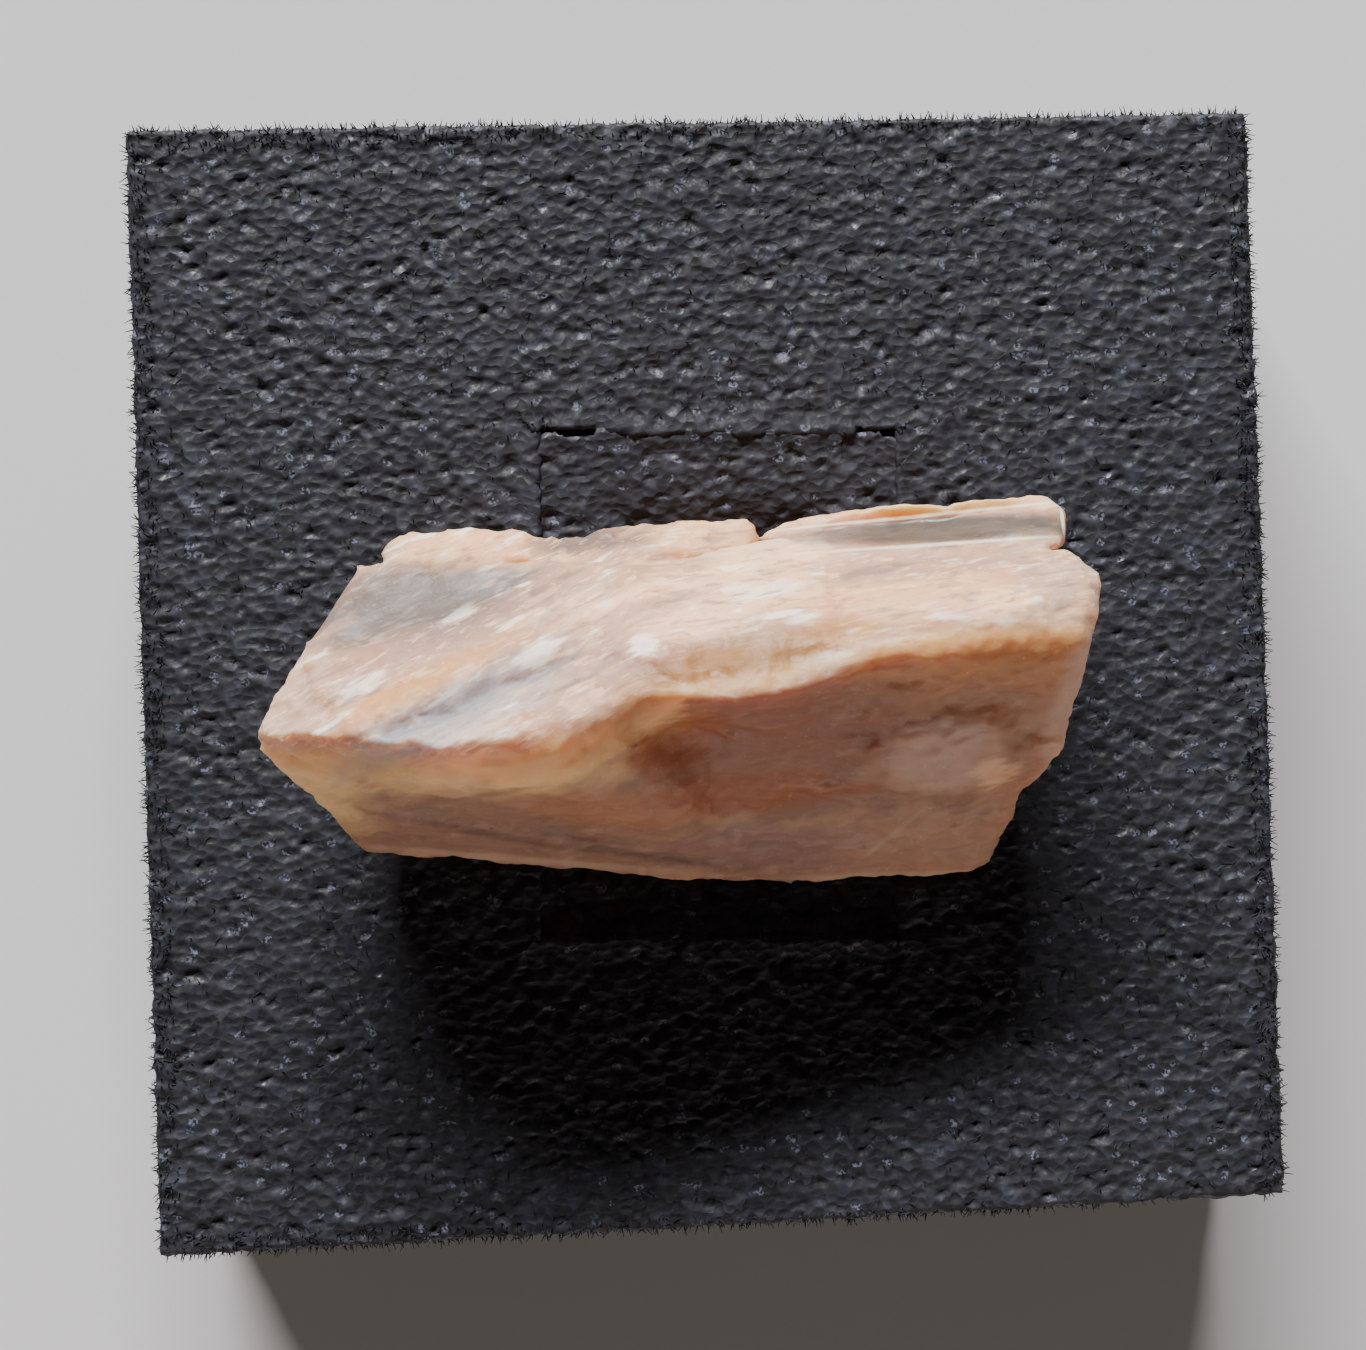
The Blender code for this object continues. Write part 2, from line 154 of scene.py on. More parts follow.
class Recipe:
    """A material and the nodes that make it."""

    def __init__(self, name: str) -> None:
        """Starts an empty material whose pattern coordinates are millimetres in the model's frame."""
        self.material = bpy.data.materials.new(name)
        self.material.use_nodes = True
        self.tree = self.material.node_tree
        self.tree.nodes.clear()
        place = self.node("ShaderNodeTexCoord", {}, {})
        scaled = self.node(
            "ShaderNodeVectorMath", {"operation": "SCALE"}, {0: place.outputs["Object"], "Scale": 1 / MM}
        )
        self.place = scaled.outputs[0]

    def node(self, kind: str, settings: dict[str, Any], inputs: dict[Any, Any]) -> bpy.types.Node:
        """Adds a node.

        Args:
            kind: The node's type.
            settings: Its properties, set before its sockets. "stops" gives a ramp's positions and colours.
            inputs: What each input socket, by name or number, takes: a value, a socket or a constant.

        Returns:
            The new node.
        """
        node = self.tree.nodes.new(kind)
        for name, setting in settings.items():
            if name == "stops":
                self._set_stops(node.color_ramp, setting)
            else:
                setattr(node, name, setting)
        for key, given in inputs.items():
            source = given.socket if isinstance(given, Value) else given
            if isinstance(source, bpy.types.NodeSocket):
                self.tree.links.new(source, node.inputs[key])
            else:
                node.inputs[key].default_value = source
        return node

    @staticmethod
    def _set_stops(ramp: bpy.types.ColorRamp, stops: list[tuple[float, tuple[float, float, float]]]) -> None:
        """Sets a colour ramp's stops."""
        while len(ramp.elements) < len(stops):
            ramp.elements.new(1.0)
        for element, (position, colour) in zip(ramp.elements, stops):
            element.position = position
            element.color = (*colour, 1.0)

    def parts(self, vector: bpy.types.NodeSocket) -> tuple[Value, Value, Value]:
        """Splits a vector into its three numbers."""
        node = self.node("ShaderNodeSeparateXYZ", {}, {0: vector})
        return tuple(Value(self, socket) for socket in node.outputs)

    def mapped(self, centre: tuple, turn: float, size: tuple) -> bpy.types.NodeSocket:
        """Gives coordinates about a centre, turned about the vertical, and in units of a size."""
        angles = (0, 0, math.radians(turn))
        inputs = {"Vector": self.place, "Location": centre, "Rotation": angles, "Scale": size}
        return self.node("ShaderNodeMapping", {"vector_type": "TEXTURE"}, inputs).outputs[0]

    def noise(self, pitch: float, detail: float = 2.0, vector: Any = None, warp: float = 0.0) -> Value:
        """Gives soft noise around 0.5, with lumps of a pitch in the vector's units."""
        inputs = {"Vector": vector or self.place, "Scale": 1 / pitch, "Detail": detail, "Distortion": warp}
        return Value(self, self.node("ShaderNodeTexNoise", {}, inputs).outputs[0])

    def cells(self, pitch: float, vector: Any = None, ways: str = "3D") -> bpy.types.Node:
        """Adds a Voronoi node, with cells of a pitch in the vector's units."""
        inputs = {"Vector": vector or self.place, "Scale": 1 / pitch}
        return self.node("ShaderNodeTexVoronoi", {"voronoi_dimensions": ways}, inputs)

    def lay(self, under: Any, *layers: tuple[Any, Any]) -> bpy.types.NodeSocket:
        """Lays colours over another, one by one.

        Args:
            under: The colour below.
            layers: Each colour on top, and how much of it shows.

        Returns:
            The mixed colour.
        """
        for over, share in layers:
            below, above = ((*tone, 1.0) if isinstance(tone, tuple) else tone for tone in (under, over))
            settings = {"data_type": "RGBA", "clamp_factor": True}
            under = self.node("ShaderNodeMix", settings, {0: share, 6: below, 7: above}).outputs[2]
        return under

    def bump(self, height: Value, depth: float, strength: float = 1.0) -> bpy.types.NodeSocket:
        """Turns a height from 0 to 1 into a normal, with a depth in millimetres."""
        inputs = {"Strength": strength, "Distance": depth * MM, "Height": height}
        return self.node("ShaderNodeBump", {}, inputs).outputs[0]

    def finish(self, **sockets: Any) -> bpy.types.Material:
        """Ends the recipe in a Principled shader.

        Args:
            sockets: What each of its sockets takes, with underscores for the spaces in their names.

        Returns:
            The finished material.
        """
        inputs = {name.replace("_", " "): given for name, given in sockets.items()}
        shader = self.node("ShaderNodeBsdfPrincipled", {}, inputs)
        self.node("ShaderNodeOutputMaterial", {}, {"Surface": shader.outputs[0]})
        return self.material


# ---------- the stone's finish

Colour = tuple[float, float, float]
Spot = tuple[float, float, float]


@dataclass(frozen=True)
class Zone:
    """A soft-edged patch of colour in the crystal, an upright ellipsoid in millimetres.

    Attributes:
        name: What it is, which labels its node.
        centre: Its middle: across, back, and height above the foam.
        reach: Its half-sizes along and across its turn.
        turn: Its turn about the vertical, in degrees.
        colour: Linear colour.
        share: How much of it shows at its middle.
        blur: How wide its edge is, as a share of its size.
        ragged: How far noise pushes its edge in and out.
        shine: What it adds to the roughness.
        depth: Its half-size along the vertical.
    """

    name: str
    centre: Spot
    reach: tuple[float, float]
    turn: float
    colour: Colour
    share: float = 0.85
    blur: float = 0.4
    ragged: float = 1.5
    shine: float = 0.0
    depth: float = 3.0


@dataclass(frozen=True)
class MoonstoneFinish:
    """The crystal: milky peach on its sunlit back, amber along its crest, rust and brown in front, partly
    painted shade.

    Attributes:
        crest: The crest line, across and back.
        front: The zones below the crest, the widest first; their browns are partly painted shade.
        back: The zones behind the crest, the widest first.
        last: Glassy faces, hairline cracks and the groove in painted shade, pale rims and painted highlights
            along the leaf edges, and amber with painted glow over the crest, which lie over all the rest.
    """

    peach: Colour = (0.50, 0.27, 0.165)
    bright_peach: Colour = (0.95, 0.58, 0.34)
    warm_peach: Colour = (0.80, 0.44, 0.235)
    pink: Colour = (0.50, 0.34, 0.245)
    grey_pink: Colour = (0.42, 0.25, 0.18)
    grey: Colour = (0.135, 0.11, 0.098)
    glass: Colour = (0.07, 0.062, 0.058)
    blue_grey: Colour = (0.19, 0.18, 0.19)
    milk_and_blue_sheen: Colour = (0.50, 0.43, 0.43)
    fleck_and_highlight_white: Colour = (1.0, 0.93, 0.84)
    amber: Colour = (0.848, 0.538, 0.244)
    bright_amber: Colour = (0.60, 0.27, 0.07)
    crest_glow_amber: Colour = (0.27, 0.12, 0.03)
    crest_glow_gold: Colour = (0.70, 0.42, 0.17)
    groove_shade: Colour = (0.27, 0.245, 0.26)
    veil: Colour = (0.13, 0.10, 0.088)
    tan: Colour = (0.897, 0.6, 0.276)
    brown: Colour = (0.286, 0.152, 0.104)
    red_brown: Colour = (0.392, 0.175, 0.091)
    rust: Colour = (0.339, 0.096, 0.032)
    core: Colour = (0.297, 0.123, 0.076)
    gold: Colour = (0.50, 0.23, 0.08)
    rose: Colour = (0.509, 0.328, 0.25)
    dusk: Colour = (0.29, 0.155, 0.13)
    flesh: Colour = (0.437, 0.237, 0.147)
    crack: Colour = (0.09, 0.04, 0.03)
    roughness: float = 0.5
    crest: tuple[tuple[float, float], ...] = (
        (-15.1, -1.9), (-11.6, -2.0), (-9.0, -2.3), (-6.1, -2.1), (-3.5, -1.4), (-2.2, -0.6), (1.1, 0.1),
        (4.1, 0.6), (7.4, 1.2), (10.0, 1.35), (13.4, 1.3),
    )
    front: tuple[Zone, ...] = (
        Zone("tan tip", (-13.3, -3.5, 6.0), (2.2, 1.4), -37, tan, 0.8, depth=5),
        Zone("left brown", (-8.4, -4.6, 5.4), (4.4, 0.9), -11, brown, 0.7),
        Zone("lower brown", (-5.0, -5.9, 3.6), (7.2, 0.8), -9, brown, 0.75),
        Zone("lower mid", (2.8, -6.2, 2.4), (4.6, 0.9), -5, dusk, 0.85),
        Zone("lower right", (7.8, -6.2, 2.1), (3.6, 1.2), 1, flesh, 0.8),
        Zone("reddish band", (-3.4, -4.4, 6.4), (3.6, 0.8), -10, red_brown, 0.8),
        # Amber under the crest: partly the crystal's own amber, partly painted glow of light shining through
        # the crest.
        Zone("amber under crest", (-7.0, -2.75, 9.0), (4.8, 1.0), 4, amber, 0.9, 0.6),
        Zone("gold shoulder", (9.2, 0.2, 8.4), (4.4, 1.2), 1, gold, 0.9),
        Zone("gold lower", (7.9, -1.2, 7.8), (3.6, 0.9), 1, red_brown, 0.8),
        Zone("core", (2.4, -2.0, 7.5), (4.6, 1.9), -2, core, 0.95, 0.4, 0.6, depth=4),
        Zone("rust lower", (1.2, -4.0, 5.1), (3.6, 0.8), 1, rust, 0.75),
        Zone("rust left", (-1.2, -2.1, 8.2), (1.7, 1.3), -2, rust, 0.95, 0.4, 0.5),
        Zone("pale patch", (8.2, -3.1, 6.0), (2.1, 1.35), -2, rose, 0.9, 0.3, 0.5),
        Zone("rust strip", (10.9, -2.7, 4.8), (1.4, 2.4), -8, red_brown, 0.5, 0.9, 0.7),
        Zone("flesh rim", (12.3, -1.6, 6.4), (0.6, 3.2), -14, rose, 0.8, depth=5),
        Zone("bright streak", (9.9, -3.7, 5.2), (0.8, 0.5), -2, bright_peach, 0.5, depth=2),
        # Gold edges along the crest, to line 358: partly the crystal's amber, partly painted glow of light
        # shining through the crest.
        Zone("amber edge", (-4.4, -2.1, 10.3), (3.2, 0.65), 12, crest_glow_gold, 0.85, 0.6),
        Zone("amber step", (-1.4, -0.8, 10.0), (1.3, 0.6), 40, crest_glow_gold, 0.9),
        Zone("tip edge", (-12.4, -2.3, 9.0), (3.0, 0.6), -6, crest_glow_gold, 0.85, 0.6),
        Zone("gold edge middle", (1.6, -0.05, 9.7), (3.2, 0.42), 10, crest_glow_gold, 0.7, 0.6),
        Zone("gold edge right", (9.2, 1.0, 9.0), (5.2, 0.5), 4, crest_glow_gold, 0.8, 0.6),
    )
    back: tuple[Zone, ...] = (
        Zone("pink tip", (-13.8, -0.4, 8.0), (1.6, 2.2), -22, pink, 0.8, depth=4),
        Zone("upper bands", (-8.8, 1.5, 8.1), (4.4, 0.9), 25, grey_pink, 0.75),
        Zone("plateau", (-3.1, 0.1, 9.5), (3.0, 1.4), 20, grey_pink, 0.85),
        Zone("grey facet", (-9.9, 2.6, 6.0), (3.7, 1.6), 8, grey, 0.85, 0.5, 0.4),
        Zone("dark facet end", (-7.2, 3.5, 5.5), (2.2, 0.55), 15, blue_grey, 0.8, 0.5, 0.5, -0.1),
        Zone("amber band", (-10.2, -0.4, 9.5), (2.1, 0.55), 28, bright_amber, 0.75),
        # Bluish milk: the crystal's milkiness with its bluish sheen painted in.
        Zone("blue milk", (-8.4, -1.3, 10.5), (3.6, 0.8), 22, milk_and_blue_sheen, 0.85),
        # The groove's lilac-grey is painted shade along the step's riser.
        Zone("groove", (-8.8, -0.75, 9.7), (3.9, 0.75), 25, groove_shade, 0.8, 0.8),
        Zone("middle peach", (0.2, 2.6, 7.6), (4.6, 1.1), 10, bright_peach, 0.85),
        Zone("right peach", (6.7, 2.5, 8.0), (3.4, 1.0), 6, warm_peach, 0.8),
        Zone("grey streak middle", (-2.5, 2.0, 8.6), (3.0, 0.4), 18, grey_pink, 0.7),
        Zone("grey streak right", (7.2, 3.3, 7.0), (3.4, 0.35), 4, grey_pink, 0.8),
        Zone("grey end", (12.0, 2.4, 8.0), (1.4, 1.0), -22, pink, 0.8),
        # Orange along the crest, here and on the next line: partly the crystal's amber, partly painted glow
        # of light shining through the crest.
        Zone("orange crest", (1.3, 0.25, 9.9), (3.6, 0.6), 14, bright_amber, 1.0, 0.5, 1.0),
        Zone("orange shoulder", (4.2, 1.2, 9.2), (1.6, 0.5), 10, bright_amber, 0.75),
        Zone("bright right", (9.9, 2.0, 8.4), (1.0, 0.45), 8, bright_peach, 0.9),
        Zone("left leaf", (-8.1, 4.9, 4.1), (2.9, 1.0), -5, warm_peach, 0.95),
        Zone("middle leaf grey", (-3.9, 4.8, 3.5), (2.1, 0.5), 3, grey, 0.85, 0.4, 0.4, -0.15),
        Zone("middle leaf peach", (0.6, 4.9, 4.1), (2.0, 0.7), 3, warm_peach, 0.9),
        Zone("ledge", (2.4, 4.0, 5.9), (1.8, 0.65), 1, bright_peach, 0.9),
        # White blobs, slivers and flecks, to line 388: painted highlights where the light catches the slope
        # and crest.
        Zone("blob on groove", (-5.5, 0.9, 8.7), (0.8, 0.34), 28, fleck_and_highlight_white, 0.75),
        Zone("blob on plateau", (-2.0, 1.1, 8.9), (0.45, 0.36), 0, fleck_and_highlight_white, 0.75),
        Zone("blob on crest", (1.8, 0.65, 9.4), (0.5, 0.42), 0, fleck_and_highlight_white, 0.75),
        Zone("sliver on crest", (3.9, 0.35, 9.7), (0.8, 0.26), 18, fleck_and_highlight_white, 0.75),
        Zone("sliver on slope", (2.4, 2.8, 7.1), (1.2, 0.25), 12, fleck_and_highlight_white, 0.75),
        Zone("fleck on bands", (-8.2, 2.35, 7.0), (0.6, 0.2), 30, fleck_and_highlight_white, 0.85),
        Zone("fleck at tip", (-11.4, 0.0, 9.0), (0.8, 0.3), 20, fleck_and_highlight_white, 0.6),
        Zone("fleck near edge", (9.9, 1.45, 9.0), (0.4, 0.25), 0, fleck_and_highlight_white, 0.7),
    )
    last: tuple[Zone, ...] = (
        Zone("amber streak", (-8.9, 0.2, 9.2), (3.3, 0.42), 28, bright_amber, 0.6, 0.8, 0.8),
        # Lilac-grey band along the groove: painted shade on the step's riser.
        Zone("lilac band", (-8.4, -1.0, 9.8), (3.7, 0.62), 28, groove_shade, 0.7, 0.7, 0.6),
        # Amber over the crest, to line 395: partly the crystal's amber, partly painted glow of light shining
        # through the crest.
        Zone("amber crest", (1.6, 0.62, 9.6), (3.3, 0.7), 12, crest_glow_amber, 0.95, 0.7, 0.8),
        Zone("amber crest left", (-1.9, -0.5, 9.9), (1.5, 0.5), 32, crest_glow_amber, 0.6, 0.8, 1.0),
        Zone("amber crest right", (9.6, 1.45, 9.0), (3.6, 0.3), 3, crest_glow_amber, 0.4, 0.8, 1.0),
        Zone("facet veil", (-10.3, 2.8, 6.0), (3.4, 1.3), 12, veil, 0.8, 0.6, 0.3),
        Zone("right leaf rim", (8.0, 5.65, 3.7), (5.6, 0.42), 1, warm_peach, 0.9, 0.4, 0.3),
        Zone("glassy leaf", (8.5, 4.72, 4.3), (4.9, 0.55), 1, glass, 0.93, 0.35, 0.25, -0.2),
        # Dark hairline cracks, to line 401: painted shade inside the cracks.
        Zone("long crack left", (-8.0, -5.15, 4.0), (3.2, 0.13), -14, crack, 0.5, 0.9, 1.4),
        Zone("long crack right", (-2.2, -6.3, 3.0), (2.8, 0.14), -11, crack, 0.6, 0.9, 1.4),
        Zone("short crack", (-4.6, -5.5, 4.0), (1.3, 0.1), -10, crack, 0.5, 0.9, 1.2),
        Zone("vein", (6.3, -5.9, 3.0), (1.4, 0.10), 40, pink, 0.6, 0.7, 1.0),
        Zone("foot rim", (-6.6, -6.3, 1.0), (5.6, 0.16), -7, pink, 0.7, 0.6, 0.8),
        Zone("foot rim right", (6.6, -7.4, 0.6), (3.6, 0.14), 0, pink, 0.7, 0.6, 0.8),
        # White lines along the leaf edges, to line 407: painted highlights on the rims.
        Zone("leaf edge", (7.8, 5.3, 3.6), (4.5, 0.06), 3.8, fleck_and_highlight_white, 0.85, 0.5, 0.3),
        Zone("back edge line", (8.4, 4.2, 6.0), (4.2, 0.06), 2, fleck_and_highlight_white, 0.5, 0.6, 0.5),
        Zone("leaf end line", (12.55, 4.9, 4.0), (0.07, 0.5), 0, fleck_and_highlight_white, 0.9, 0.5, 0.2),
    )

    def streaks(self, recipe: Recipe) -> bpy.types.NodeSocket:
        """Gives coordinates that follow the crystal's bands: steep on the left, flatter on the right."""
        across, back, up = recipe.parts(recipe.place)
        beyond = across - BAND_BEND
        flow = back - BAND_SLOPE * beyond + BAND_STEEPER * (0.0 - beyond).most(0.0)
        return recipe.node("ShaderNodeCombineXYZ", {}, {0: across * 0.22, 1: flow, 2: up * 0.5}).outputs[0]

    def below_crest(self, recipe: Recipe, wobble: Value) -> Value:
        """Gives 1 in front of the crest line and 0 behind it.

        Args:
            recipe: The material being made.
            wobble: Noise around zero that pushes the line.

        Returns:
            The share of the front's colours.
        """
        across, behind, _ = recipe.parts(recipe.place)
        low, high = self.crest[0][0], self.crest[-1][0]
        span = 8.0
        stops = [((right - low) / (high - low), (back / span + 0.5,) * 3) for right, back in self.crest]
        ramp = recipe.node("ShaderNodeValToRGB", {"stops": stops}, {0: (across - low) / (high - low)})
        line = Value(recipe, ramp.outputs[0]) * span - span / 2
        return (line - behind + wobble * 0.35).ramp(-0.25, 0.45)

    def mask(self, recipe: Recipe, zone: Zone, wobbles: tuple[Value, Value]) -> Value:
        """Gives a zone's share over the crystal.

        Args:
            recipe: The material being made.
            zone: The zone.
            wobbles: Broad and fine noise around zero: a small zone's edge takes the fine one.

        Returns:
            Its share, from 0 outside to the zone's own at its middle.
        """
        across, back, height = zone.centre
        centre = (across, back, height + FOAM_TOP)
        local = recipe.mapped(centre, zone.turn, (*zone.reach, zone.depth))
        length = recipe.node("ShaderNodeVectorMath", {"operation": "LENGTH", "label": zone.name}, {0: local})
        wobble = wobbles[0] if max(zone.reach) > 1.5 else wobbles[1] * 1.25
        distance = Value(recipe, length.outputs["Value"]) + wobble * zone.ragged
        return distance.ramp(1.0 - zone.blur, 1.0 + zone.blur, zone.share, 0.0)

    def lay_zones(self, recipe: Recipe, under: Any, rough: Value, zones: tuple, wobbles: tuple) -> tuple:
        """Lays zones over a colour.

        Args:
            recipe: The material being made.
            under: The colour below.
            rough: The roughness below.
            zones: The zones, in order.
            wobbles: Broad and fine noise around zero, for their edges.

        Returns:
            The colour and the roughness with the zones in them.
        """
        for zone in zones:
            share = self.mask(recipe, zone, wobbles)
            under = recipe.lay(under, (zone.colour, share))
            if zone.shine:
                rough = rough + share * zone.shine
        return under, rough

    def make(self) -> bpy.types.Material:
        """Builds the crystal's material."""
        recipe = Recipe("moonstone_crystal")
        bands = self.streaks(recipe)
        wisps = recipe.noise(0.7, 5.0, bands, 0.5)
        clouds = recipe.noise(1.7, 2.0)
        wobbles = (recipe.noise(0.75, 4.0, bands, 0.6) - 0.5, recipe.noise(0.26, 2.0, bands) - 0.5)
        glow = recipe.parts(recipe.cells(0.42, bands).outputs["Color"])[0]
        flecks = recipe.noise(0.42, 3.0, bands)
        lines = recipe.noise(0.17, 3.0, bands, 0.4)
        haze = recipe.noise(0.9, 3.0, None, 0.3)
        grain = recipe.noise(0.15, 1.0)
        crumbly = clouds.ramp(0.42, 0.62)
        milk = recipe.lay(
            self.peach,
            (self.pink, wisps.ramp(0.42, 0.62)),
            (self.grey_pink, clouds.ramp(0.5, 0.68, 0.0, 0.6)),
        )
        rough = wisps.ramp(0.3, 0.7, self.roughness + 0.08, self.roughness - 0.06)
        back, rough = self.lay_zones(recipe, milk, rough, self.back, wobbles)
        # Bright and grey cells in crumbly patches: partly the crystal's grain, partly painted sparkle of its
        # small facets.
        back = recipe.lay(
            back,
            (self.bright_peach, glow.ramp(0.62, 0.95, 0.0, 0.55) * crumbly),
            (self.grey_pink, glow.ramp(0.3, 0.0, 0.0, 0.5) * crumbly),
            (self.grey_pink, lines.ramp(0.46, 0.3, 0.0, 0.75)),
            (self.bright_peach, lines.ramp(0.56, 0.68, 0.0, 0.5)),
            # White flecks: partly pale flecks of the crystal, partly painted glints; the grey flecks are its
            # own.
            (self.fleck_and_highlight_white, flecks.ramp(0.58, 0.72, 0.0, 0.65)),
            (self.grey, flecks.ramp(0.43, 0.3, 0.0, 0.45)),
        )
        # The brown and rust front, laid below the crest, is partly the crystal's own colour and partly
        # painted shade of the side turned from the light.
        shaded = recipe.lay(self.brown, (self.flesh, clouds.ramp(0.4, 0.62, 0.1, 0.9)))
        front, rough = self.lay_zones(recipe, shaded, rough, self.front, wobbles)
        front = recipe.lay(front, (self.rose, haze.ramp(0.55, 0.75, 0.0, 0.35)))
        whole = recipe.lay(back, (front, self.below_crest(recipe, wobbles[0] + wobbles[1])))
        colour, rough = self.lay_zones(recipe, whole, rough, self.last, wobbles)
        # Faint white speckle: partly pale grain, partly painted glints.
        colour = recipe.lay(colour, (self.fleck_and_highlight_white, grain.ramp(0.68, 0.8, 0.0, 0.12)))
        return recipe.finish(
            Base_Color=colour,
            Roughness=rough,
            Normal=recipe.bump(flecks * 0.6 + grain * 0.4, 0.07, 0.6),
            Subsurface_Weight=0.65,
            Subsurface_Radius=(1.0, 0.43, 0.2),
            Subsurface_Scale=0.003,
            IOR=1.53,
            Specular_IOR_Level=0.3,
        )


@dataclass(frozen=True)
class FoamFinish:
    """Charcoal open-celled foam: painted shade darkens its cells, and painted reflections lighten some skins
    and make small bluish glints.
    """

    # pit: painted shade in the cells; skin: partly painted reflection of shiny cell windows; glint: painted
    # glints.
    pit: Colour = (0.011, 0.011, 0.0145)
    strut: Colour = (0.0185, 0.019, 0.0255)
    skin: Colour = (0.033, 0.035, 0.050)
    glint: Colour = (0.11, 0.12, 0.18)
    roughness: float = 0.66
    cell: float = 0.34

    def make(self) -> bpy.types.Material:
        """Builds the foam's material."""
        recipe = Recipe("charcoal_foam")
        depth, skin = (
            Value(recipe, recipe.node("ShaderNodeAttribute", {"attribute_name": name}, {}).outputs["Fac"])
            for name in ("pit", "skin")
        )
        fine = recipe.noise(0.12, 1.0)
        patchy = recipe.noise(1.6, 1.0)
        across, back, up = recipe.parts(recipe.place)
        below, sideways = up - FOAM_TOP, (across * across - back * back).ramp(-0.5, 0.5)
        unfolded = (across + below * sideways, back + below * (1.0 - sideways))
        folded = recipe.node("ShaderNodeCombineXYZ", {}, {0: unfolded[0] * 0.85, 1: unfolded[1] * 1.1})
        window = recipe.cells(self.cell, folded.outputs[0], "2D")
        bowl = Value(recipe, window.outputs["Distance"]).ramp(0.1, 0.75)
        chance, second, _ = recipe.parts(window.outputs["Color"])
        spark = (fine - 0.5) * 1.4 + bowl
        broken = fine.ramp(0.56, 0.4)
        # Painted shade darkens the cell bottoms; the lighter skins are partly painted reflection of shiny
        # cell windows, and the glints are painted.
        colour = recipe.lay(
            self.pit,
            (self.strut, bowl * (1.0 - depth * 0.5)),
            (self.skin, chance.ramp(0.45, 1.0) * patchy.ramp(0.3, 0.7, 0.3, 1.0)),
            (self.glint, spark.ramp(0.55, 0.3) * second.ramp(0.87, 0.99) * broken),
        )
        rough = fine.ramp(0.35, 0.65, self.roughness + 0.1, self.roughness - 0.1)
        rough = rough - chance.ramp(0.86, 0.96, 0.0, 0.2) - skin.ramp(0.8, 0.9, 0.0, 0.08)
        return recipe.finish(
            Base_Color=colour, Roughness=rough, Normal=recipe.bump(bowl, 0.09, 0.35), Specular_IOR_Level=0.35
        )


@dataclass(frozen=True)
class FloorFinish:
    """A plain pale floor of two tones close together."""

    colour: Colour = (0.60, 0.60, 0.615)
    warmer: Colour = (0.64, 0.635, 0.64)

    def make(self) -> bpy.types.Material:
        """Builds the floor's material."""
        recipe = Recipe("pale_floor")
        colour = recipe.lay(self.colour, (self.warmer, recipe.noise(30.0, 2.0)))
        return recipe.finish(Base_Color=colour, Roughness=0.9)


# ---------- pieces


@dataclass
class Piece:
    """A visible piece that stands for one CAD node.

    Attributes:
        node: The CAD node.
        slot: Its material slot; not used.
        weld: How close the corners of loose triangles lie that are merged.
    """

    node: str
    slot: Slot
    weld: float = 0.001

    def fine_copy(self, name: str, grain: float) -> bpy.types.Object:
        """Copies the node's solid and cuts its faces into small even ones.

        Args:
            name: The new object's name.
            grain: How wide its faces are, about, in millimetres.

        Returns:
            The new object.
        """
        shape = bmesh.new()
        shape.from_mesh(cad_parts[self.node].data)
        bmesh.ops.remove_doubles(shape, verts=shape.verts, dist=self.weld * MM)
        piece = self.object_of(shape, name)
        cut = piece.modifiers.new("fine faces", "REMESH")
        cut.mode = "VOXEL"
        cut.voxel_size = grain * MM
        graph = bpy.context.evaluated_depsgraph_get()
        done = bpy.data.meshes.new_from_object(piece.evaluated_get(graph))
        piece.modifiers.clear()
        piece.data = done
        return piece

    @staticmethod
    def object_of(shape: bmesh.types.BMesh, name: str) -> bpy.types.Object:
        """Ends a bmesh as a new object at the origin."""
        mesh = bpy.data.meshes.new(name)
        shape.to_mesh(mesh)
        shape.free()
        piece = bpy.data.objects.new(name, mesh)
        bpy.context.scene.collection.objects.link(piece)
        return piece

    def hand_over(self, piece: bpy.types.Object, material: bpy.types.Material, *nodes: str) -> None:
        """Dresses a piece and ties it to the frame.

        Args:
            piece: The finished piece.
            material: Its finish.
            nodes: The CAD nodes that it stands for.
        """
        piece.data.materials.clear()
        piece.data.materials.append(material)
        piece.data.shade_smooth()
        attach(piece, "root")
        if nodes:
            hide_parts(*nodes)
        triangles = sum(len(face.vertices) - 2 for face in piece.data.polygons)
        log.info("%s: %d triangles", piece.name, triangles)


@dataclass(frozen=True)
class Bulge:
    """A place where the crystal is pushed, fading out to the ends of an ellipsoid.

    Attributes:
        centre: Its middle: across, back, and height above the foam, in millimetres.
        reach: Its half-sizes.
        move: How far its middle goes.
    """

    centre: Spot
    reach: Spot
    move: Spot

    def push(self, point: Vector) -> Vector:
        """Gives the push at a point."""
        middle = (*self.centre[:2], self.centre[2] + FOAM_TOP)
        away = [(place - centre) / reach for place, centre, reach in zip(point, middle, self.reach)]
        share = max(0.0, 1.0 - sum(part * part for part in away))
        return Vector(self.move) * share * share


